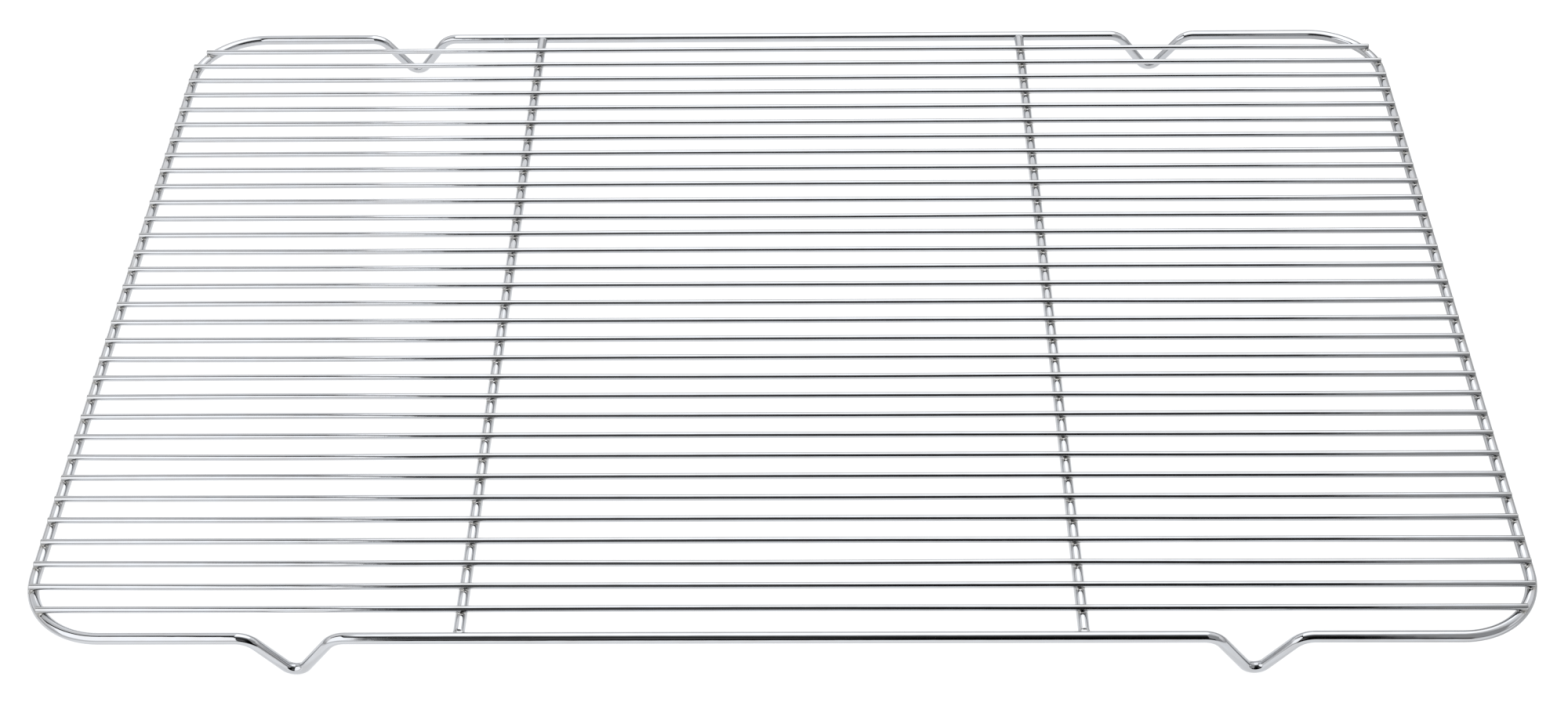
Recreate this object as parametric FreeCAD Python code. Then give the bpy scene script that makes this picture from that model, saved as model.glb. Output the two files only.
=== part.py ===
import FreeCAD, Part
import math
import os

os.makedirs("parts", exist_ok=True)

# Welded wire cooling rack for a full-size sheet pan. Millimetres, +Z up, +X along the grid wires.
# Origin: middle of the overall length and width, on the plane that the four feet stand on.

# Frame: one wire bent into a rectangle, its two ends joined by a butt weld in the back side
OVERALL_LENGTH = 622.0
OVERALL_WIDTH = 419.0
FRAME_WIRE_D = 4.8
CORNER_BEND_R = 33.5

# Feet: V bends in the two long sides of the frame
FOOT_DROP = 19.0
FOOT_SPACING = 391.0
FOOT_OFFSET_X = -2.0
FOOT_LEG_TILT = 37.5
TOE_BEND_R = 5.5
KNEE_BEND_R = 10.0

# Ribs: two cross wires between the long sides, level with the frame
RIB_WIRE_D = 4.8
RIB_SPACING = 252.5
RIB_OFFSET_X = -3.0
RIB_UPSET = 0.8

# Grid: thin wires laid on top of the short sides and the ribs
GRID_WIRE_D = 2.7
GRID_COUNT = 32
GRID_FRONT_MARGIN = 12.5
GRID_BACK_MARGIN = 15.75
GRID_END_INSET = 1.5
GRID_WELD_SINK = 0.3

# Welds
BUTT_WELD_TO_RIB = 18.0
BUTT_WELD_WIDTH = 1.4
BUTT_WELD_PROUD = 0.2
COLLAR_LENGTH = 1.4
COLLAR_ROOT_PROUD = 0.4
COLLAR_TIP_PROUD = 0.1

# Derived places
FRAME_R = FRAME_WIRE_D / 2
SIDE_X = OVERALL_LENGTH / 2 - FRAME_R
RAIL_Y = OVERALL_WIDTH / 2 - FRAME_R
FRAME_Z = FOOT_DROP + FRAME_R
RIB_Z = FRAME_Z + FRAME_R - RIB_WIRE_D / 2
RIB_X = (RIB_OFFSET_X - RIB_SPACING / 2, RIB_OFFSET_X + RIB_SPACING / 2)
FOOT_X = (FOOT_OFFSET_X - FOOT_SPACING / 2, FOOT_OFFSET_X + FOOT_SPACING / 2)
GRID_Z = FRAME_Z + FRAME_R + GRID_WIRE_D / 2 - GRID_WELD_SINK
GRID_FRONT_Y = -RAIL_Y + GRID_FRONT_MARGIN
GRID_BACK_Y = RAIL_Y - GRID_BACK_MARGIN
GRID_PITCH = (GRID_BACK_Y - GRID_FRONT_Y) / (GRID_COUNT - 1)
BUTT_WELD_X = RIB_X[0] - BUTT_WELD_TO_RIB

X_AXIS = FreeCAD.Vector(1, 0, 0)
Y_AXIS = FreeCAD.Vector(0, 1, 0)


def rounded_path(points, radii):
    """Open path of straight runs; each inner point is rounded by a tangent arc of its own radius."""
    edges = []
    start = points[0]
    for before, corner, after, radius in zip(points, points[1:], points[2:], radii):
        back = (before - corner).normalize()
        ahead = (after - corner).normalize()
        half_angle = back.getAngle(ahead) / 2
        tangent_length = radius / math.tan(half_angle)
        bisector = (back + ahead).normalize()
        arc_start = corner + back * tangent_length
        arc_middle = corner + bisector * (radius / math.sin(half_angle) - radius)
        arc_end = corner + ahead * tangent_length
        edges.append(Part.LineSegment(start, arc_start).toShape())
        edges.append(Part.Arc(arc_start, arc_middle, arc_end).toShape())
        start = arc_end
    edges.append(Part.LineSegment(start, points[-1]).toShape())
    return Part.Wire(edges)


def bent_rod(path, diameter):
    """Round wire of one diameter that follows a path of straight runs and arcs."""
    first = path.Edges[0]
    direction = first.tangentAt(first.FirstParameter)
    section = Part.Wire(Part.makeCircle(diameter / 2, first.Vertexes[0].Point, direction))
    return path.makePipeShell([section], True, False)


def foot_points(x, y, along):
    """Knee, toe and knee of one V foot, in the order met when walking along the frame."""
    tilt = math.radians(FOOT_LEG_TILT)
    toe_depth = FOOT_DROP + TOE_BEND_R * (1 / math.sin(tilt) - 1)
    half_width = toe_depth * math.tan(tilt)
    return [
        FreeCAD.Vector(x - along * half_width, y, FRAME_Z),
        FreeCAD.Vector(x, y, FRAME_Z - toe_depth),
        FreeCAD.Vector(x + along * half_width, y, FRAME_Z),
    ]


def frame_wire():
    """Walk from the butt weld along the back, down the right side, back along the front and home."""
    foot_radii = [KNEE_BEND_R, TOE_BEND_R, KNEE_BEND_R]
    points = [FreeCAD.Vector(BUTT_WELD_X + BUTT_WELD_WIDTH / 2, RAIL_Y, FRAME_Z)]
    points += foot_points(FOOT_X[1], RAIL_Y, 1)
    points.append(FreeCAD.Vector(SIDE_X, RAIL_Y, FRAME_Z))
    points.append(FreeCAD.Vector(SIDE_X, -RAIL_Y, FRAME_Z))
    points += foot_points(FOOT_X[1], -RAIL_Y, -1)
    points += foot_points(FOOT_X[0], -RAIL_Y, -1)
    points.append(FreeCAD.Vector(-SIDE_X, -RAIL_Y, FRAME_Z))
    points.append(FreeCAD.Vector(-SIDE_X, RAIL_Y, FRAME_Z))
    points += foot_points(FOOT_X[0], RAIL_Y, 1)
    points.append(FreeCAD.Vector(BUTT_WELD_X - BUTT_WELD_WIDTH / 2, RAIL_Y, FRAME_Z))
    corner_radii = [CORNER_BEND_R, CORNER_BEND_R]
    radii = foot_radii + corner_radii + foot_radii * 2 + corner_radii + foot_radii
    return bent_rod(rounded_path(points, radii), FRAME_WIRE_D)


def butt_weld():
    """Upset ring that joins the two ends of the frame wire."""
    start = FreeCAD.Vector(BUTT_WELD_X - BUTT_WELD_WIDTH / 2, RAIL_Y, FRAME_Z)
    return Part.makeCylinder(FRAME_R + BUTT_WELD_PROUD, BUTT_WELD_WIDTH, start, X_AXIS)


def rib(x):
    """Cross wire between the long sides; its square ends stop at the tips of the weld collars."""
    half = RAIL_Y - FRAME_R - COLLAR_LENGTH
    return Part.makeCylinder(RIB_WIRE_D / 2, 2 * half, FreeCAD.Vector(x, -half, RIB_Z), Y_AXIS)


def rib_collars(frame):
    """Upset weld metal between each end of each rib and the long side, wider toward the side."""
    tip_r = RIB_WIRE_D / 2 + COLLAR_TIP_PROUD
    root_r = RIB_WIRE_D / 2 + COLLAR_ROOT_PROUD
    root_y = RAIL_Y - FRAME_R + RIB_UPSET
    collars = []
    for x in RIB_X:
        for side in (-1, 1):
            root = FreeCAD.Vector(x, side * root_y, RIB_Z)
            cone = Part.makeCone(root_r, tip_r, RIB_UPSET + COLLAR_LENGTH, root, Y_AXIS * -side)
            collars += cone.cut(frame).Solids
    return Part.makeCompound(collars)


def deck_half_length(y):
    """Half length of a grid wire at y: flush with the frame's outer face, also round the corners."""
    bend_y = RAIL_Y - CORNER_BEND_R
    past_bend = max(0.0, abs(y) - bend_y)
    outer_r = CORNER_BEND_R + FRAME_R
    return SIDE_X - CORNER_BEND_R + math.sqrt(outer_r ** 2 - past_bend ** 2) - GRID_END_INSET


def grid_wire(y):
    """Thin wire across the rack, set down into the sides and the ribs by the depth of its welds."""
    half = deck_half_length(y)
    return Part.makeCylinder(GRID_WIRE_D / 2, 2 * half, FreeCAD.Vector(-half, y, GRID_Z), X_AXIS)


def export(name, shape):
    shape.exportStep("parts/" + name + ".step")


frame = frame_wire()
export("frame_wire", frame)
export("frame_butt_weld", butt_weld())
export("rib_left", rib(RIB_X[0]))
export("rib_right", rib(RIB_X[1]))
export("rib_end_welds", rib_collars(frame))
for number in range(1, GRID_COUNT + 1):
    wire_y = GRID_BACK_Y - (number - 1) * GRID_PITCH
    export("grid_wire_%02d" % number, grid_wire(wire_y))
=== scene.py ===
"""Looks of a welded wire cooling rack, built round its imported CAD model. Metres, +Z up."""

import math

import bpy
import numpy as np
from bpy.props import FloatProperty, FloatVectorProperty, IntProperty, PointerProperty
from mathutils import Matrix, Vector


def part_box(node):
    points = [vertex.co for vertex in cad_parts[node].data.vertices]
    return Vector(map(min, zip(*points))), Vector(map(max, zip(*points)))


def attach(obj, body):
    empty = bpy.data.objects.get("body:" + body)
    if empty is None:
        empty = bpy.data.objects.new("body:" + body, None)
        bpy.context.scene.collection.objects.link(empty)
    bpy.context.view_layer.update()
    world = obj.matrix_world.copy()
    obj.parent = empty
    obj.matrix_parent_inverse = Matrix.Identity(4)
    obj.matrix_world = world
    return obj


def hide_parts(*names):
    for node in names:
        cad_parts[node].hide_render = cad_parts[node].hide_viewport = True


bl_info = {
    "name": "Wire cooling rack",
    "version": (1, 0, 0),
    "blender": (4, 5, 0),
    "location": "3D View > Sidebar > Cooling rack",
    "description": "Builds the plated wires, welds and studio of a cooling rack",
    "category": "Add Mesh",
}

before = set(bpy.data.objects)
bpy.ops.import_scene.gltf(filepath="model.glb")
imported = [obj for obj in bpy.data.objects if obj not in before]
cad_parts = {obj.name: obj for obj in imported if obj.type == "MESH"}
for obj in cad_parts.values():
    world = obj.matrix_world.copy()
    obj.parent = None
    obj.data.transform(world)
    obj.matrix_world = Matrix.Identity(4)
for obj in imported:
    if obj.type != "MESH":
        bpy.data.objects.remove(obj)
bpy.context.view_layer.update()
MM = 0.001
GRID_NODES = sorted(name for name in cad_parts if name.startswith("grid_wire_"))
FRAME_LOW, FRAME_HIGH = (np.array(corner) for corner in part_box("frame_wire"))
RIB_BOXES = {name: np.array(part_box(name)) for name in ("rib_left", "rib_right")}
GRID_BOXES = np.array([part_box(name) for name in GRID_NODES])


# ---------------------------------------------------------------- sizes and finishes


def linear(code):
    """sRGB hex colour to the linear values that shaders take."""
    c = np.array([int(code[i:i + 2], 16) for i in (1, 3, 5)]) / 255
    return tuple(np.where(c <= 0.04045, c / 12.92, ((c + 0.055) / 1.055) ** 2.4)) + (1.0,)


class RackSizes(bpy.types.PropertyGroup):
    """Sizes of the wires and welds; where each wire lies comes from the CAD model."""

    frame_wire: FloatProperty(
        name="Frame wire", description="Diameter of the frame wire and the ribs",
        default=4.8 * MM, min=1 * MM, unit="LENGTH", precision=5)
    corner_bend: FloatProperty(
        name="Corner bend", description="Bend radius of the frame's corners, to the wire's axis",
        default=33.5 * MM, min=5 * MM, unit="LENGTH", precision=5)
    foot_spacing: FloatProperty(
        name="Foot spacing", description="Distance between the two feet of one long side",
        default=391 * MM, unit="LENGTH", precision=5)
    foot_offset: FloatProperty(
        name="Foot offset", description="Shift of the feet's middle from the rack's middle",
        default=-2 * MM, unit="LENGTH", precision=5)
    foot_tilt: FloatProperty(
        name="Foot leg tilt", description="Angle of a foot's leg from the vertical",
        default=math.radians(37.5), unit="ROTATION")
    toe_bend: FloatProperty(
        name="Toe bend", description="Bend radius at the bottom of a foot, to the wire's axis",
        default=5.5 * MM, unit="LENGTH", precision=5)
    knee_bend: FloatProperty(
        name="Knee bend", description="Bend radius where a foot leaves the side, to the axis",
        default=10 * MM, unit="LENGTH", precision=5)
    wire_bow: FloatProperty(
        name="Grid wire bow", description="How far a grid wire wanders between two welds",
        default=0.16 * MM, min=0, unit="LENGTH", precision=5)
    weld_reach: FloatProperty(
        name="Weld reach", description="How far a crossing's weld fillet runs out along the wire below",
        default=2.7 * MM, unit="LENGTH", precision=5)
    weld_run: FloatProperty(
        name="Weld run-out", description="How far a fillet's thin tail runs out under the grid wire",
        default=4.4 * MM, unit="LENGTH", precision=5)
    butt_width: FloatProperty(
        name="Butt weld width", description="Length of the rippled zone round the frame's butt weld",
        default=4.6 * MM, unit="LENGTH", precision=5)
    around: IntProperty(
        name="Facets round a wire", description="Number of faces round each wire", default=40, min=8)


class RackFinishes(bpy.types.PropertyGroup):
    """Colours of the plating and of the studio."""

    plate: FloatVectorProperty(
        name="Chromium plate", description="Reflected colour of clean bright plating",
        subtype="COLOR", size=4, default=linear("#c3c5c8"), min=0, max=1)
    plate_thin: FloatVectorProperty(
        name="Thin plate", description="Reflected colour where the chromium is thin over nickel",
        subtype="COLOR", size=4, default=linear("#bfbfc0"), min=0, max=1)
    weld: FloatVectorProperty(
        name="Plated weld metal", description="Reflected colour of the plating over weld flash",
        subtype="COLOR", size=4, default=linear("#a3a19c"), min=0, max=1)
    gloss: FloatProperty(
        name="Plate roughness", description="Roughness of the bright plating", default=0.045, min=0, max=1)
    weld_gloss: FloatProperty(
        name="Weld roughness", description="Roughness of the plating over weld flash", default=0.11,
        min=0, max=1)
    floor: FloatVectorProperty(
        name="Floor", description="Colour of the studio floor", subtype="COLOR", size=4,
        default=linear("#898a8b"), min=0, max=1)


# ---------------------------------------------------------------- shapes


def unit(v):
    """Vectors divided by their lengths."""
    return v / np.linalg.norm(v, axis=-1, keepdims=True)


def soft_step(at, low, high):
    """0 below low, 1 above high, and the smooth cubic between them."""
    t = np.clip((at - low) / (high - low), 0, 1)
    return t * t * (3 - 2 * t)


def put(name, points, faces, uv, materials, replaced, heat=None, flat=(), sharp=(), which=None):
    """A finished piece: points and faces into a mesh at the origin, riding on the rack's one body.
    uv has one pair per face corner, heat one value per point. flat lists faces that stay flat,
    sharp marks points whose shared edges are creases, which gives each face its material."""
    mesh = bpy.data.meshes.new(name)
    mesh.from_pydata(points.reshape(-1, 3), [], faces)
    mesh.polygons.foreach_set("use_smooth", np.ones(len(mesh.polygons), bool))
    if len(flat):
        smooth = np.ones(len(mesh.polygons), bool)
        smooth[list(flat)] = False
        mesh.polygons.foreach_set("use_smooth", smooth)
    layer = mesh.uv_layers.new(name="wire")
    layer.data.foreach_set("uv", np.asarray(uv, np.float32).ravel())
    attribute = mesh.attributes.new("weld_heat", "FLOAT", "POINT")
    if heat is not None:
        attribute.data.foreach_set("value", np.asarray(heat, np.float32).ravel())
    if len(sharp):
        mark = np.zeros(len(mesh.vertices), bool)
        mark[np.asarray(sharp)] = True
        ends = np.zeros(len(mesh.edges) * 2, np.int32)
        mesh.edges.foreach_get("vertices", ends)
        crease = mesh.attributes.new("sharp_edge", "BOOLEAN", "EDGE")
        crease.data.foreach_set("value", mark[ends.reshape(-1, 2)].all(1))
    for material in materials:
        mesh.materials.append(material)
    if which is not None:
        mesh.polygons.foreach_set("material_index", np.asarray(which, np.int32))
    mesh.validate()
    mesh.update()
    piece = bpy.data.objects.new(name, mesh)
    bpy.context.scene.collection.objects.link(piece)
    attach(piece, "root")
    if replaced:
        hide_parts(*replaced)
    return piece


def ring_faces(rings, around, first=0):
    """Quads between successive rings of points, each ring closed on itself, facing outwards."""
    i, j = np.meshgrid(np.arange(rings - 1), np.arange(around), indexing="ij")
    k = (j + 1) % around
    quads = np.stack([i * around + j, i * around + k, (i + 1) * around + k, (i + 1) * around + j], -1)
    return quads.reshape(-1, 4) + first


def ring_uv(lengths, girth, around):
    """Along the wire and round it, in metres, for the corners of ring_faces."""
    i, j = np.meshgrid(np.arange(len(lengths) - 1), np.arange(around), indexing="ij")
    u0, u1 = lengths[i], lengths[i + 1]
    v0, v1 = j * girth / around, (j + 1) * girth / around
    return np.stack([np.stack(c, -1) for c in ((u0, v0), (u0, v1), (u1, v1), (u1, v0))], -2).reshape(-1, 2)


def rod(axis, ahead, radius, around):
    """Points of a round rod: at each point of its axis, a circle across the direction ahead.
    The circle starts sideways, at the level cross product of up and ahead, so it never twists."""
    side = unit(np.cross([0.0, 0.0, 1.0], ahead))
    up = np.cross(ahead, side)
    turn = np.arange(around) * 2 * math.pi / around
    spokes = np.cos(turn)[:, None] * side[:, None] + np.sin(turn)[:, None] * up[:, None]
    return axis[:, None] + np.broadcast_to(radius, (len(axis),))[:, None, None] * spokes


def put_rod(name, axis, ahead, radius, around, materials, replaced, heat, capped=0):
    """A closed rod as a piece. Its two ends are flat faces, and the last rings beside each end,
    as many as capped says, are the rounded edge of the cut and take the second material."""
    points = rod(axis, ahead, radius, around)
    lengths = np.concatenate([[0], np.cumsum(np.linalg.norm(np.diff(axis, axis=0), axis=1))])
    girth = float(np.max(radius)) * 2 * math.pi
    quads = ring_faces(len(axis), around)
    last = (len(axis) - 1) * around
    faces = quads.tolist() + [list(range(around - 1, -1, -1)), list(range(last, last + around))]
    uv = np.concatenate([ring_uv(lengths, girth, around), np.zeros((2 * around, 2))])
    which = np.zeros(len(faces), int)
    if capped:
        which[: capped * around] = 1
        which[len(quads) - capped * around:] = 1
    rims = np.concatenate([np.arange(around), last + np.arange(around)])
    return put(name, points, faces, uv, materials, replaced, heat(points),
               flat=(len(quads), len(quads) + 1), sharp=rims, which=which)


def rounded_path(corners, radii, step, turn):
    """Axis points and directions of a bent wire. Each inner corner gives way to the arc that is
    tangent to both its runs: its centre is on their bisector, radius / sin(half angle) away."""
    points, ahead, here = [corners[0][None]], [unit(corners[1] - corners[0])[None]], corners[0]
    for before, corner, after, radius in zip(corners, corners[1:], corners[2:], radii):
        a, b = unit(before - corner), unit(after - corner)
        half = math.acos(float(a @ b)) / 2
        start = corner + a * radius / math.tan(half)
        run = max(2, math.ceil(np.linalg.norm(start - here) / step))
        points.append(here + np.linspace(0, 1, run + 1)[1:-1, None] * (start - here))
        ahead.append(np.broadcast_to(-a, (run - 1, 3)))
        sweep = math.pi - 2 * half
        t = np.linspace(0, sweep, math.ceil(sweep / turn) + 1)[:, None]
        centre = corner + unit(a + b) * radius / math.sin(half)
        out = (start - centre) / radius
        points.append(centre + radius * (np.cos(t) * out - np.sin(t) * a))
        ahead.append(-np.sin(t) * out - np.cos(t) * a)
        here = points[-1][-1]
    run = max(2, math.ceil(np.linalg.norm(corners[-1] - here) / step))
    points.append(here + np.linspace(0, 1, run + 1)[1:, None] * (corners[-1] - here))
    ahead.append(np.broadcast_to(unit(corners[-1] - corners[-2]), (run, 3)))
    return np.concatenate(points), np.concatenate(ahead)


def layout(sizes):
    """Axis lines of the frame, from the box of its CAD node, and the middle of every weld."""
    r = sizes.frame_wire / 2
    side_x, rail_y = FRAME_HIGH[0] - r, FRAME_HIGH[1] - r
    frame_z = FRAME_HIGH[2] - r
    rib_x = [box[:, 0].mean() for box in RIB_BOXES.values()]
    grid_y, grid_z = GRID_BOXES[:, :, 1].mean(1), GRID_BOXES[:, :, 2].mean()
    past = np.maximum(0, np.abs(grid_y) - (rail_y - sizes.corner_bend))
    end_x = side_x - sizes.corner_bend + np.sqrt(sizes.corner_bend ** 2 - past ** 2)
    columns = [-end_x, np.full_like(grid_y, rib_x[0]), np.full_like(grid_y, rib_x[1]), end_x]
    slant = np.arcsin(past / sizes.corner_bend) * np.sign(grid_y)
    return dict(r=r, side_x=side_x, rail_y=rail_y, frame_z=frame_z, rib_x=rib_x, grid_y=grid_y,
                grid_z=grid_z, grid_r=float(np.ptp(GRID_BOXES[0, :, 1])) / 2, columns=np.array(columns),
                slant=slant)


def weld_heat(place, reach):
    """How near a point is to the closest crossing: exp(-(distance / reach)^2)."""
    spots = np.stack([place["columns"].ravel(), np.tile(place["grid_y"], 4)], -1)

    def heat(points):
        flat = points.reshape(-1, 3)
        near = np.full(len(flat), 1e9)
        for spot in spots:
            near = np.minimum(near, ((flat[:, :2] - spot) ** 2).sum(1))
        below = np.clip((place["grid_z"] - flat[:, 2]) / (2 * place["r"]), 0, 1)
        return np.exp(-near / reach ** 2) * (1 - below * below)

    return heat


# ---------------------------------------------------------------- materials


def node(tree, kind, settings=None, **inputs):
    """Adds a node with its settings; an input that is a socket is linked, any other is a value."""
    made = tree.nodes.new(kind)
    for name, value in (settings or {}).items():
        setattr(made, name, value)
    for name, value in inputs.items():
        socket = made.inputs[int(name[1:]) if name[1:].isdigit() else name.replace("_", " ")]
        if isinstance(value, bpy.types.NodeSocket):
            tree.links.new(value, socket)
        else:
            socket.default_value = value
    return made


def new_material(name):
    """An empty node material with its output."""
    material = bpy.data.materials.new(name)
    material.use_nodes = True
    material.node_tree.nodes.clear()
    return material, material.node_tree, node(material.node_tree, "ShaderNodeOutputMaterial")


def spans(along, around):
    """Scale of a pattern whose marks are that long and that wide, both in metres."""
    return (1 / along, 1 / around, 1 / around)


def plated_wire(name, finishes, drawn, heat_tint):
    """Bright nickel-chromium plate on cold-drawn steel wire: a near mirror, faintly cool, with
    the drawing die's long fine lines under it, a slow unevenness of the plating, tiny pits, and a
    duller, browner zone round each weld, where the heat roughened the steel before plating."""
    material, tree, output = new_material(name)
    wire = node(tree, "ShaderNodeUVMap", {"uv_map": "wire"}).outputs["UV"]
    place = node(tree, "ShaderNodeTexCoord").outputs["Object"]
    # drawing lines: about 40 mm long; the real ones are 0.05 mm wide, drawn 4 to 8 times coarser
    stretched = node(tree, "ShaderNodeMapping", Vector=wire, Scale=spans(40 * MM, drawn))
    lines = node(tree, "ShaderNodeTexNoise", Vector=stretched.outputs[0], Scale=1.0, Detail=3.0)
    # uneven plating: swells about 9 mm long and 3 mm wide
    slow = node(tree, "ShaderNodeMapping", Vector=wire, Scale=spans(9 * MM, 3 * MM))
    swell = node(tree, "ShaderNodeTexNoise", Vector=slow.outputs[0], Scale=1.0, Detail=1.5)
    # pits and nodules in the plating: about 0.7 mm apart, few of them deep enough to show
    grit = node(tree, "ShaderNodeTexNoise", Vector=place, Scale=1 / (0.7 * MM), Detail=2.0)
    pits = node(tree, "ShaderNodeMapRange", {"interpolation_type": "SMOOTHSTEP"}, Value=grit.outputs[0],
                From_Min=0.58, From_Max=0.8)
    heat = node(tree, "ShaderNodeAttribute", {"attribute_name": "weld_heat"}).outputs["Fac"]
    scorched = node(tree, "ShaderNodeMath", {"operation": "MULTIPLY"}, _0=heat, _1=heat_tint)
    thin = node(tree, "ShaderNodeMapRange", Value=swell.outputs[0], From_Min=0.35, From_Max=0.75)
    clean = node(tree, "ShaderNodeMix", {"data_type": "RGBA"}, _0=thin.outputs[0],
                 _6=tuple(finishes.plate), _7=tuple(finishes.plate_thin))
    tinted = node(tree, "ShaderNodeMix", {"data_type": "RGBA"}, _0=scorched.outputs[0],
                  _6=clean.outputs[2], _7=tuple(finishes.weld))
    worn = node(tree, "ShaderNodeMapRange", Value=lines.outputs[0], From_Min=0.3, From_Max=0.8,
                To_Min=finishes.gloss * 0.6, To_Max=finishes.gloss * 1.5)
    dulled = node(tree, "ShaderNodeMath", {"operation": "MULTIPLY_ADD"}, _0=scorched.outputs[0],
                  _1=0.16, _2=worn.outputs[0])
    waves = node(tree, "ShaderNodeBump", Height=swell.outputs[0], Distance=0.04 * MM, Strength=1.0)
    drawing = node(tree, "ShaderNodeBump", Height=lines.outputs[0], Distance=0.0012 * MM, Strength=1.0,
                   Normal=waves.outputs[0])
    pitted = node(tree, "ShaderNodeBump", Height=pits.outputs[0], Distance=0.0015 * MM, Strength=1.0,
                  Normal=drawing.outputs[0])
    shader = node(tree, "ShaderNodeBsdfPrincipled", Metallic=1.0, Base_Color=tinted.outputs[2],
                  Roughness=dulled.outputs[0], Normal=pitted.outputs[0])
    tree.links.new(shader.outputs[0], output.inputs["Surface"])
    return material


def plated_weld(name, finishes, lump):
    """Plating over resistance-weld flash: the same metal on a rough, lumpy base, so it is duller,
    a little brown where the plate is thin in the crevices, and full of small broken glints."""
    material, tree, output = new_material(name)
    place = node(tree, "ShaderNodeTexCoord").outputs["Object"]
    # lumps of flash
    lumps = node(tree, "ShaderNodeTexNoise", Vector=place, Scale=1 / lump, Detail=1.0)
    fine = node(tree, "ShaderNodeTexNoise", Vector=place, Scale=1 / (0.25 * MM), Detail=2.0)
    shade = node(tree, "ShaderNodeMapRange", Value=lumps.outputs[0], From_Min=0.35, From_Max=0.7)
    colour = node(tree, "ShaderNodeMix", {"data_type": "RGBA"}, _0=shade.outputs[0],
                  _6=tuple(finishes.weld), _7=tuple(finishes.plate_thin))
    rough = node(tree, "ShaderNodeMapRange", Value=fine.outputs[0], From_Min=0.3, From_Max=0.7,
                 To_Min=finishes.weld_gloss * 0.6, To_Max=finishes.weld_gloss * 1.7)
    big = node(tree, "ShaderNodeBump", Height=lumps.outputs[0], Distance=0.09 * MM, Strength=1.0)
    small = node(tree, "ShaderNodeBump", Height=fine.outputs[0], Distance=0.006 * MM, Strength=1.0,
                 Normal=big.outputs[0])
    shader = node(tree, "ShaderNodeBsdfPrincipled", Metallic=1.0, Base_Color=colour.outputs[2],
                  Roughness=rough.outputs[0], Normal=small.outputs[0])
    tree.links.new(shader.outputs[0], output.inputs["Surface"])
    return material


def sheared_end(name, finishes):
    """A shear-cut wire end, plated after cutting: dragged scratches across it, duller than the rod."""
    material, tree, output = new_material(name)
    place = node(tree, "ShaderNodeTexCoord").outputs["Object"]
    # shear marks: run down the cut face, about 0.3 mm apart
    dragged = node(tree, "ShaderNodeMapping", Vector=place, Scale=(1 / (2 * MM), 1 / (0.3 * MM), 1 / (2 * MM)))
    marks = node(tree, "ShaderNodeTexNoise", Vector=dragged.outputs[0], Scale=1.0, Detail=2.0)
    colour = node(tree, "ShaderNodeMix", {"data_type": "RGBA"}, _0=marks.outputs[0],
                  _6=tuple(finishes.weld), _7=tuple(finishes.plate))
    rough = node(tree, "ShaderNodeMapRange", Value=marks.outputs[0], To_Min=0.12, To_Max=0.32)
    torn = node(tree, "ShaderNodeBump", Height=marks.outputs[0], Distance=0.05 * MM, Strength=1.0)
    shader = node(tree, "ShaderNodeBsdfPrincipled", Metallic=1.0, Base_Color=colour.outputs[2],
                  Roughness=rough.outputs[0], Normal=torn.outputs[0])
    tree.links.new(shader.outputs[0], output.inputs["Surface"])
    return material


def material_of(maker, name, *details):
    """The named material, made the first time that it is asked for."""
    return bpy.data.materials.get(name) or maker(name, *details)


def heavy_plate(finishes):
    return material_of(plated_wire, "Bright chromium plate on heavy drawn wire", finishes, 0.4 * MM, 0.55)


def fine_plate(finishes):
    return material_of(plated_wire, "Bright chromium plate on fine drawn wire", finishes, 0.25 * MM, 0.35)


def flash_plate(finishes):
    return material_of(plated_weld, "Chromium plate over weld flash", finishes, 1.3 * MM)


def cut_plate(finishes):
    return material_of(sheared_end, "Plated shear-cut wire end", finishes)


# ---------------------------------------------------------------- pieces


class RACK_OT_frame_wire(bpy.types.Operator):
    """Bend the frame wire: a rounded rectangle with two V feet in each long side"""

    bl_idname = "rack.frame_wire"
    bl_label = "Frame wire"

    def execute(self, context):
        sizes, finishes = context.scene.rack_sizes, context.scene.rack_finishes
        place = layout(sizes)
        x, y, z = place["side_x"], place["rail_y"], place["frame_z"]
        weld_low, weld_high = (np.array(c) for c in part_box("frame_butt_weld"))
        tilt = sizes.foot_tilt
        deep = z - place["r"] + sizes.toe_bend * (1 / math.sin(tilt) - 1)
        wide = deep * math.tan(tilt)
        left, right = (sizes.foot_offset + s * sizes.foot_spacing / 2 for s in (-1, 1))

        def foot(at, rail, along):
            return [(at - along * wide, rail, z), (at, rail, z - deep), (at + along * wide, rail, z)]

        corners = np.array([
            (weld_high[0], y, z), *foot(right, y, 1), (x, y, z), (x, -y, z), *foot(right, -y, -1),
            *foot(left, -y, -1), (-x, -y, z), (-x, y, z), *foot(left, y, 1), (weld_low[0], y, z)])
        bends = [sizes.knee_bend, sizes.toe_bend, sizes.knee_bend]
        corner = [sizes.corner_bend] * 2
        radii = bends + corner + bends * 2 + corner + bends
        axis, ahead = rounded_path(corners, radii, 5 * MM, math.radians(4))
        plate = heavy_plate(finishes)
        put_rod("frame_wire_plated", axis, ahead, place["r"], sizes.around + 8, [plate],
                ["frame_wire"], weld_heat(place, 3.4 * MM))
        return {"FINISHED"}


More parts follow.
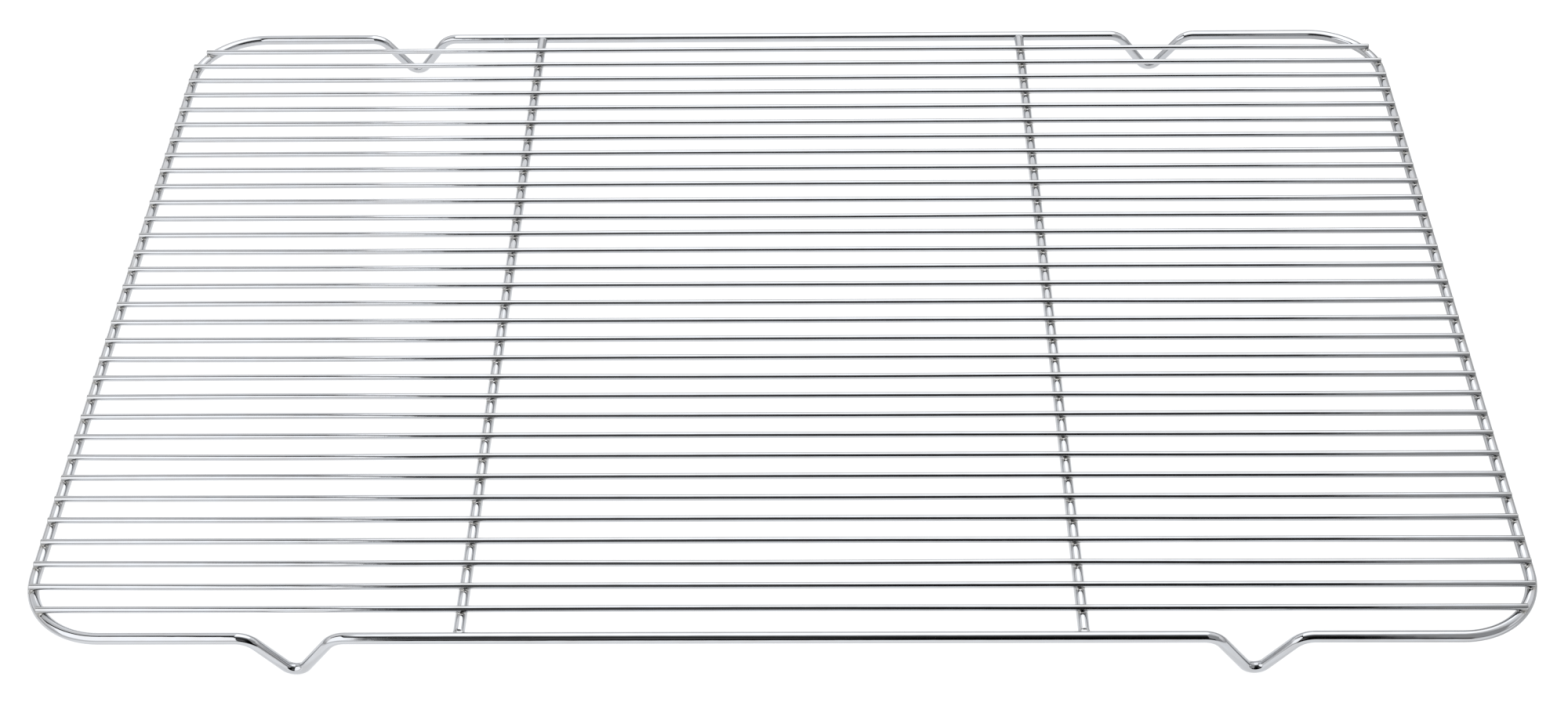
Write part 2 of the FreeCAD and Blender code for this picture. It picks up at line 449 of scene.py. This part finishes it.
class RACK_OT_butt_weld(bpy.types.Operator):
    """Turn the frame's butt weld: a low upset ring with a few ground ripples on either side"""

    bl_idname = "rack.butt_weld"
    bl_label = "Butt weld"

    def execute(self, context):
        sizes, finishes = context.scene.rack_sizes, context.scene.rack_finishes
        place = layout(sizes)
        low, high = (np.array(c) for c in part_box("frame_butt_weld"))
        middle, half, around = (low + high) / 2, sizes.butt_width / 2, sizes.around + 8
        s = np.linspace(-1, 1, 49)
        # radius: the wire's, plus ripples 1.1 mm long that die away to the ends, in mm
        fade = (1 - s * s) ** 2
        ripple = 0.006 + 0.003 * fade * np.cos(s * half / (1.1 * MM) * 2 * math.pi) + 0.008 * fade
        radius = place["r"] + np.where(np.abs(s) < 0.999, np.maximum(ripple, 0.004), 0.0) * MM
        axis = np.stack([middle[0] + s * half, np.full_like(s, place["rail_y"]),
                         np.full_like(s, place["frame_z"])], -1)
        ahead = np.broadcast_to([1.0, 0.0, 0.0], axis.shape)
        put_rod("butt_weld_ripples", axis, ahead, radius, around, [heavy_plate(finishes)],
                ["frame_butt_weld"], lambda points: np.full(points.size // 3, 0.25))
        return {"FINISHED"}


class RACK_OT_ribs(bpy.types.Operator):
    """Lay the two ribs, the cross wires between the long sides"""

    bl_idname = "rack.ribs"
    bl_label = "Ribs"

    def execute(self, context):
        sizes, finishes = context.scene.rack_sizes, context.scene.rack_finishes
        place = layout(sizes)
        for name, box in RIB_BOXES.items():
            middle = box.mean(0)
            # rings every 1.5 mm, so that the dulling beside each weld is smooth
            y = np.linspace(box[0, 1], box[1, 1], 272)
            axis = np.stack([np.full_like(y, middle[0]), y, np.full_like(y, middle[2])], -1)
            ahead = np.broadcast_to([0.0, 1.0, 0.0], axis.shape)
            put_rod(name + "_plated", axis, ahead, place["r"], sizes.around, [heavy_plate(finishes)],
                    [name], weld_heat(place, 3.4 * MM))
        return {"FINISHED"}


class RACK_OT_rib_end_welds(bpy.types.Operator):
    """Raise the weld collars where the ribs meet the long sides"""

    bl_idname = "rack.rib_end_welds"
    bl_label = "Rib end welds"

    def execute(self, context):
        sizes, finishes = context.scene.rack_sizes, context.scene.rack_finishes
        place = layout(sizes)
        around, rng = sizes.around, np.random.default_rng(5)
        r, inner = place["r"], place["rail_y"] - place["r"]
        tip = RIB_BOXES["rib_left"][1, 1]
        # distance past the rib's end, and there: how far the weld flares out sideways, and how far
        # the rib's rounded end falls away from its top and bottom line, in mm
        s = np.array([-0.12, -0.02, 0.1, 0.3, 0.5, 0.7, 0.9, 1.1, 1.3, 1.5, 1.8, 2.2, 2.8])
        flare = np.array([-0.2, 0.003, 0.005, 0.01, 0.02, 0.04, 0.06, 0.1, 0.16, 0.22, 0.26, 0.26, 0.2])
        fall = np.array([-0.2, 0.003, 0.003, 0.0, -0.01, -0.03, -0.06, -0.13, -0.24, -0.36, -0.46, -0.5, -0.6])
        turn = np.arange(around) * 2 * math.pi / around
        level = np.cos(turn) ** 2
        points, faces, uv, heat, sharp = [], [], [], [], []
        for x in place["rib_x"]:
            for side in (-1, 1):
                phase = rng.uniform(0, 2 * math.pi, 2)
                # the flash is uneven round the joint: two slow waves of random phase
                lobes = 1 + 0.18 * np.sin(2 * turn + phase[0]) + 0.1 * np.sin(3 * turn + phase[1])
                proud = (flare[:, None] * level + fall[:, None] * (1 - level)) * lobes
                radius = r + np.where(s[:, None] < 0, proud / lobes, proud) * MM
                y = np.broadcast_to(side * (tip + s[:, None] * MM), radius.shape)
                ring = np.stack([x - side * np.cos(turn) * radius, y,
                                 place["frame_z"] + np.sin(turn) * radius], -1)
                start = sum(len(p) for p in points)
                end = start + (len(s) - 1) * around
                points.append(ring.reshape(-1, 3))
                faces += ring_faces(len(s), around, start).tolist()
                faces += [list(range(start + around - 1, start - 1, -1)), list(range(end, end + around))]
                uv += [ring_uv(s * MM, 2 * math.pi * r, around), np.zeros((2 * around, 2))]
                heat.append(np.repeat(0.5 * soft_step(s, 0.4, 1.4), around))
                sharp += range(start + around, start + 2 * around)
        put("rib_end_collars", np.concatenate(points), faces, np.concatenate(uv),
            [heavy_plate(finishes)], ["rib_end_welds"], heat=np.concatenate(heat), sharp=sharp)
        return {"FINISHED"}


class RACK_OT_grid_wires(bpy.types.Operator):
    """Lay the grid wires, each a little bowed between its welds and shear-cut at its ends"""

    bl_idname = "rack.grid_wires"
    bl_label = "Grid wires"

    def execute(self, context):
        sizes, finishes = context.scene.rack_sizes, context.scene.rack_finishes
        place = layout(sizes)
        rng = np.random.default_rng(12)
        beside = np.array([0, 0.6, 1.3, 2.2, 3.2, 4.5]) * MM
        beside = np.concatenate([-beside[:0:-1], beside])
        heat = weld_heat(place, 2.6 * MM)
        for number, name in enumerate(GRID_NODES):
            low, high = GRID_BOXES[number]
            crossings = place["columns"][:, number]
            near = (crossings[:, None] + beside).ravel()
            r = place["grid_r"]
            # the cut's edge is rounded over 0.25 mm: two rings beside each end
            round_over = np.array([0.0, 0.08, 0.25]) * MM
            body = np.concatenate([np.linspace(low[0], high[0], 60), near])
            body = body[(body > low[0] + 0.3 * MM) & (body < high[0] - 0.3 * MM)]
            body = np.unique(np.round(body, 5))
            x = np.concatenate([low[0] + round_over, body, high[0] - round_over[::-1]])
            shrink = np.concatenate([[0.86, 0.955, 1.0], np.ones(len(body)), [1.0, 0.955, 0.86]])
            # bow: one half sine wave in each of the three bays, none at the welds
            bay = np.clip(np.searchsorted(crossings, x) - 1, 0, 2)
            t = np.clip((x - crossings[bay]) / (crossings[bay + 1] - crossings[bay]), 0, 1)
            swing = rng.normal(0, sizes.wire_bow, (3, 2)) * (1.0, 0.6)
            bow = np.sin(math.pi * t)[:, None] * swing[bay]
            y = (low[1] + high[1]) / 2 + bow[:, 0]
            z = (low[2] + high[2]) / 2 + np.minimum(bow[:, 1], 0)
            axis = np.stack([x, y, z], -1)
            ahead = unit(np.gradient(axis, x, axis=0))
            put_rod(name + "_plated", axis, ahead, r * shrink, sizes.around - 8,
                    [fine_plate(finishes), cut_plate(finishes)], [name], heat, capped=2)
        return {"FINISHED"}


class RACK_OT_crossing_welds(bpy.types.Operator):
    """Fill the crevices at all crossings with the small fillets of their resistance welds"""

    bl_idname = "rack.crossing_welds"
    bl_label = "Crossing welds"

    def execute(self, context):
        sizes, finishes = context.scene.rack_sizes, context.scene.rack_finishes
        place = layout(sizes)
        rng = np.random.default_rng(31)
        names = ("left_side", "left_rib", "right_rib", "right_side")
        for column, name in enumerate(names):
            self.fillets("welds_on_" + name, place, sizes, finishes, column, rng)
        return {"FINISHED"}

    def fillets(self, name, place, sizes, finishes, column, rng):
        """Surface of two parameters, for all welds of a column at once: turn, the bearing round
        the crossing, and a step from the wire below to the grid wire. In the upright plane of each
        bearing, the profile is the quadratic Bezier curve from a point A on the wire below to a
        point B on the grid wire, whose control point is where the two surfaces' tangents meet, so
        the fillet leaves both wires smoothly. It closes through the inside of the metal."""
        count, around = len(place["grid_y"]), 24
        x, y = place["columns"][column], place["grid_y"]
        slant = place["slant"] * (1, 0, 0, -1)[column]
        low_r, up_r, low_z, up_z = place["r"], place["grid_r"], place["frame_z"], place["grid_z"]
        turn = np.arange(around) * 2 * math.pi / around
        turn = (turn - 0.3 * np.sin(2 * turn))[None, :]
        waves = rng.uniform(0, 2 * math.pi, (3, count, 1))
        lumps = 1 + 0.1 * np.sin(2 * turn + waves[0]) + 0.05 * np.sin(3 * turn + waves[1])
        across_low = np.abs(np.cos(turn + slant[:, None]))
        across_up = np.abs(np.sin(turn))
        # outwards, at the two sides, the fillet stops 0.12 mm short of the grid wire's cut end
        inward = sizes.weld_run * np.ones((count, 1))
        wire_end = np.abs(GRID_BOXES[:, :, 0]).min(1)
        outward = (wire_end - np.abs(place["columns"][3]))[:, None] - 0.12 * MM
        run = {0: (inward, outward), 3: (outward, inward)}.get(column, (inward * 0.9, inward * 0.75))
        ease = soft_step(np.cos(turn), -1, 1)
        tail = run[0] * ease + run[1] * (1 - ease)

        def least(p, q):
            """The smaller of two lengths, with a rounded passage from one to the other."""
            return (p ** -5.0 + q ** -5.0) ** -0.2

        a = least(sizes.weld_reach * lumps, 0.82 * low_r / np.maximum(across_low, 1e-3))
        b = least(tail * np.ones_like(lumps), 0.93 * up_r / np.maximum(across_up, 1e-3))
        a_deep = np.sqrt(low_r ** 2 - (a * across_low) ** 2)
        b_deep = np.sqrt(up_r ** 2 - (b * across_up) ** 2)
        a_z, b_z = low_z + a_deep, up_z - b_deep
        a_slope = -a * across_low ** 2 / a_deep
        b_slope = b * across_up ** 2 / b_deep
        c = (b_z - a_z + a_slope * a - b_slope * b) / (a_slope - b_slope)
        c_z = a_z + a_slope * (c - a)
        t = np.array([0.0, 0.22, 0.5, 0.78, 1.0])[:, None, None]
        out = (1 - t) ** 2 * a + 2 * t * (1 - t) * c + t ** 2 * b
        up = (1 - t) ** 2 * a_z + 2 * t * (1 - t) * c_z + t ** 2 * b_z
        swell = 0.05 * MM * np.sin(math.pi * t) * np.sin(3 * turn + waves[2])
        out, up = out + swell * 0.7, up - swell * 0.3
        # three more rings close it, inside the grid wire, between the wires and inside the one below
        out = np.concatenate([out, [b - 0.35 * MM, np.minimum(a, b) * 0.4, a - 0.3 * MM]])
        up = np.concatenate([up, [b_z + 0.3 * MM, np.full_like(a, low_z + low_r), a_z - 0.3 * MM]])
        rings = np.stack([x[:, None] + out * np.cos(turn), y[:, None] + out * np.sin(turn), up], -1)
        rings = np.moveaxis(rings, 0, 1)[:, ::-1]
        steps = rings.shape[1]
        loop = np.concatenate([ring_faces(steps, around), self.closing(steps, around)])
        per = steps * around
        faces = (loop[None] + (np.arange(count) * per)[:, None, None]).reshape(-1, 4)
        edge = np.concatenate([np.arange(around) + k * around for k in (steps - 1, steps - 5)])
        sharp = (edge[None] + (np.arange(count) * per)[:, None]).ravel()
        put(name, rings.reshape(-1, 3), faces.tolist(), np.zeros((len(faces) * 4, 2)),
            [flash_plate(finishes)], [], sharp=sharp)

    def closing(self, steps, around):
        """Quads from the last ring back to the first."""
        j = np.arange(around)
        k = (j + 1) % around
        last = (steps - 1) * around
        return np.stack([last + j, last + k, k, j], -1)


# ---------------------------------------------------------------- studio


def tent_cloth(name, corners, rows, columns, glow):
    """A flat sheet of the light tent that only shows in reflections. Each point is the mean of the
    four corners weighted by its two parameters, and glows as bright as glow gives for it."""
    s, t = np.meshgrid(np.linspace(0, 1, columns), np.linspace(0, 1, rows))
    s, t, c = s[..., None], t[..., None], np.array(corners)
    points = (c[0] * (1 - s) + c[1] * s) * (1 - t) + (c[3] * (1 - s) + c[2] * s) * t
    i, j = np.meshgrid(np.arange(rows - 1), np.arange(columns - 1), indexing="ij")
    first = (i * columns + j).ravel()
    faces = np.stack([first, first + 1, first + columns + 1, first + columns], -1)
    mesh = bpy.data.meshes.new(name)
    mesh.from_pydata(points.reshape(-1, 3), [], faces.tolist())
    level = mesh.attributes.new("glow", "FLOAT", "POINT")
    bright = glow(*np.moveaxis(points, -1, 0))
    level.data.foreach_set("value", bright.astype(np.float32).ravel())
    material, tree, output = new_material("Lit white nylon of " + name)
    strength = node(tree, "ShaderNodeAttribute", {"attribute_name": "glow"}).outputs["Fac"]
    lit = node(tree, "ShaderNodeEmission", Color=linear("#fcfdff"), Strength=strength)
    tree.links.new(lit.outputs[0], output.inputs["Surface"])
    material.cycles.emission_sampling = "NONE"
    mesh.materials.append(material)
    cloth = bpy.data.objects.new(name, mesh)
    bpy.context.scene.collection.objects.link(cloth)
    cloth.visible_camera = cloth.visible_shadow = False
    cloth.visible_diffuse = cloth.visible_transmission = False


def tent_glow(x, y, z):
    """Brightness of the tent's cloth. lean is the angle in degrees from straight up at which the front
    of the rack sees a point. Three bands across x each have their own levels over lean, set
    to look like the rack's light, and melt together:
    a softbox low on the left with a thin dark seam above it, a large softbox overhead that ends in
    the tent's dark opening, and plain grey cloth on the right."""
    lean = np.degrees(np.arctan2(FRAME_LOW[1] - y, z - 0.024))
    seam, half = np.clip(9 + 103 * (x + 0.35), -8, 20), 8 + 13 * soft_step(x, -0.56, -0.36)
    off = np.abs(lean - seam) - half
    # left: plain cloth behind the seam, brighter to the back, and before it the low softbox
    cloth = 0.72 + 0.6 * (1 - soft_step(lean, -75, -8))
    softbox = 1.72 * (1 - 0.5 * soft_step(lean, 70, 88))
    left = np.where(lean < seam, cloth, softbox)
    left = left + (0.03 - left) * (1 - soft_step(off, -1.5, 1.5))
    # middle: the softbox overhead with its back and front edges, its spill on the cloth before it,
    # which fades as exp(-angle / 12), the dark opening, and the lit cloth below the opening
    overhead_box = (1.2 + 0.75 * soft_step(lean, -58, -50)) * (1 - soft_step(lean, -14, 9))
    spill = 0.26 * np.exp(-np.maximum(lean - 9, 0) / 12) * soft_step(lean, -5, 6)
    below = (1.28 - 0.13 * soft_step(x, 0.05, 0.25)) * soft_step(lean, 91, 101)
    middle = overhead_box + spill * (1 - soft_step(lean, 60, 73)) + below
    # the dark cloth round the opening is a little lighter to the left
    round_opening = soft_step(lean, 38, 58) * (1 - soft_step(lean, 69, 73))
    middle = middle + 0.16 * (1 - soft_step(x, -0.15, 0.12)) * round_opening
    # right: grey cloth, dimmer at its foot, the lit table's edge before it, and the softbox's end
    right = 0.43 * soft_step(lean, -6, 4) - 0.13 * soft_step(lean, 70, 77) + 0.6 * soft_step(lean, 82, 94)
    box_end = 1.17 - 0.37 * soft_step(x, 0.46, 0.56) * soft_step(lean, -30, -8)
    right = right + (1 - soft_step(lean, -7, 5)) * box_end
    overhead = 1 - soft_step(lean, 0, 20)
    to_left = soft_step(x, -0.345 - 0.05 * overhead, -0.305 - 0.05 * overhead)
    # the right edge runs outwards from the opening to the back of the softbox, and at its foot
    at_foot = soft_step(lean, 70, 76) * (lean < 92)
    edge = 0.43 + 0.01 * overhead + 0.2 * soft_step(y, -0.15, 0.35) + 0.25 * at_foot
    to_right = soft_step(x, edge - 0.02, edge + 0.05)
    glow = left * (1 - to_left) + middle * to_left * (1 - to_right) + right * to_right
    # the table under the rack, darker to the right
    table = 1.12 - 0.44 * soft_step(x, 0.17, 0.32)
    return np.where((z < 0.01) & (y > FRAME_LOW[1] - 0.01), table, glow)


class RACK_OT_studio(bpy.types.Operator):
    """Set up the floor, the light tent and the camera"""

    bl_idname = "rack.studio"
    bl_label = "Studio"

    def execute(self, context):
        scene, finishes = context.scene, context.scene.rack_finishes
        scene.view_settings.view_transform = "Standard"
        self.floor(finishes)
        self.sky(scene)
        wide, front, top, low, table = 1.6, -0.5, 0.94, -1.15, 0.0004
        sheets = (("tent_roof", 180, (1.7, top), (front, top)),
                  ("tent_front", 120, (front, top), (low, 0)),
                  ("table_glow", 400, (low, table), (1.2, table)))
        for name, rows, (y0, z0), (y1, z1) in sheets:
            corners = [(-wide, y0, z0), (wide, y0, z0), (wide, y1, z1), (-wide, y1, z1)]
            tent_cloth(name, corners, rows, 200, tent_glow)
        # gaps between the tent's back panels, 2.5 m away, that show in the ribs and the sides
        self.back_gap("gap_back_low", 11, 36, 1, 34, 0.56)
        self.back_gap("gap_back_right", 34, 50, 18, 33, 0.4)
        self.back_gap("gap_back_left", -45, -30, 28, 37, 0.7)
        self.camera(scene)
        return {"FINISHED"}

    def back_gap(self, name, west, east, low, high, level):
        """A sheet between two bearings from +Y and two heights, in degrees, that fades at its edges."""
        away = 2.5
        bearing, height = np.radians([(west, low), (east, low), (east, high), (west, high)]).T
        spot = [np.sin(bearing) * np.cos(height), np.cos(bearing) * np.cos(height), np.sin(height)]
        around = away * np.array(spot).T

        def glow(x, y, z):
            bearing = np.degrees(np.arctan2(x, y))
            inside = soft_step(bearing, west, west + 3) * (1 - soft_step(bearing, east - 3, east))
            inside = inside * soft_step(z, around[0, 2], around[0, 2] + 0.12)
            inside = inside * (1 - soft_step(z, around[2, 2] - 0.12, around[2, 2]))
            return 1.05 + (level - 1.05) * inside

        tent_cloth(name, around, 24, 24, glow)

    def floor(self, finishes):
        """Opal acrylic light table: white all over, because half of its light comes from below, so
        that thin wires cast no shadow to speak of."""
        material, tree, output = new_material("Opal acrylic light table")
        place = node(tree, "ShaderNodeTexCoord").outputs["Object"]
        # cloudiness of the sheet: about 60 mm
        cloud = node(tree, "ShaderNodeTexNoise", Vector=place, Scale=1 / (60 * MM), Detail=2.0)
        through = node(tree, "ShaderNodeMapRange", Value=cloud.outputs[0], To_Min=0.81, To_Max=0.84)
        shader = node(tree, "ShaderNodeBsdfPrincipled", Base_Color=tuple(finishes.floor), Roughness=0.9,
                      Emission_Color=linear("#ffffff"), Emission_Strength=through.outputs[0])
        tree.links.new(shader.outputs[0], output.inputs["Surface"])
        mesh = bpy.data.meshes.new("floor")
        reach = 12.0
        mesh.from_pydata([(-reach, -reach, 0), (reach, -reach, 0), (reach, reach, 0), (-reach, reach, 0)],
                         [], [(0, 1, 2, 3)])
        mesh.materials.append(material)
        floor = bpy.data.objects.new("floor", mesh)
        bpy.context.scene.collection.objects.link(floor)

    def sky(self, scene):
        """Even white light from all round: the rest of the tent."""
        world = bpy.data.worlds.new("Light tent")
        world.use_nodes = True
        world.node_tree.nodes.clear()
        output = node(world.node_tree, "ShaderNodeOutputWorld")
        # the tent's back is a little darker down at the table
        facing = node(world.node_tree, "ShaderNodeTexCoord").outputs["Generated"]
        height = node(world.node_tree, "ShaderNodeSeparateXYZ", Vector=facing).outputs["Z"]
        bright = node(world.node_tree, "ShaderNodeMapRange", Value=height, From_Min=0.1, From_Max=0.38,
                      To_Min=0.55, To_Max=1.08)
        tent = node(world.node_tree, "ShaderNodeBackground", Color=linear("#fdfdff"),
                    Strength=bright.outputs[0])
        world.node_tree.links.new(tent.outputs[0], output.inputs["Surface"])
        scene.world = world

    def camera(self, scene):
        """A camera fitted to the grid wires, the ribs and the sides; its focal length is 3025 pixels
        on a picture 2000 pixels wide."""
        pitch, yaw, roll = (math.radians(a) for a in (42.919, 1.147, -0.991))
        ahead = Vector((-math.sin(yaw) * math.cos(pitch), math.cos(yaw) * math.cos(pitch), -math.sin(pitch)))
        level = Vector((math.cos(yaw), math.sin(yaw), 0.0))
        upright = level.cross(ahead)
        right = math.cos(roll) * level + math.sin(roll) * upright
        up = -math.sin(roll) * level + math.cos(roll) * upright
        data = bpy.data.cameras.new("camera")
        data.sensor_fit, data.sensor_width = "HORIZONTAL", 36.0
        data.lens = 36.0 * 3025.4 / 2000
        data.clip_start, data.clip_end = 0.01, 100.0
        camera = bpy.data.objects.new("camera", data)
        bpy.context.scene.collection.objects.link(camera)
        turned = Matrix((right, up, -ahead)).transposed().to_4x4()
        camera.matrix_world = Matrix.Translation((0.01677, -0.82805, 0.75667)) @ turned
        scene.camera = camera


# ---------------------------------------------------------------- add-on


PIECES = (RACK_OT_frame_wire, RACK_OT_butt_weld, RACK_OT_ribs, RACK_OT_rib_end_welds,
          RACK_OT_grid_wires, RACK_OT_crossing_welds, RACK_OT_studio)


class RACK_PT_panel(bpy.types.Panel):
    """Sizes, finishes and pieces of the cooling rack"""

    bl_idname = "RACK_PT_panel"
    bl_label = "Cooling rack"
    bl_space_type = "VIEW_3D"
    bl_region_type = "UI"
    bl_category = "Cooling rack"

    def draw(self, context):
        for group in (context.scene.rack_sizes, context.scene.rack_finishes):
            box = self.layout.box()
            for name in type(group).__annotations__:
                box.prop(group, name)
        for piece in PIECES:
            self.layout.operator(piece.bl_idname)


CLASSES = (RackSizes, RackFinishes, *PIECES, RACK_PT_panel)


def register():
    for cls in CLASSES:
        bpy.utils.register_class(cls)
    bpy.types.Scene.rack_sizes = PointerProperty(type=RackSizes)
    bpy.types.Scene.rack_finishes = PointerProperty(type=RackFinishes)


def unregister():
    del bpy.types.Scene.rack_finishes
    del bpy.types.Scene.rack_sizes
    for cls in reversed(CLASSES):
        bpy.utils.unregister_class(cls)


def main():
    register()
    bpy.ops.rack.frame_wire()
    bpy.ops.rack.butt_weld()
    bpy.ops.rack.ribs()
    bpy.ops.rack.rib_end_welds()
    bpy.ops.rack.grid_wires()
    bpy.ops.rack.crossing_welds()
    bpy.ops.rack.studio()


if __name__ == "__main__":
    main()
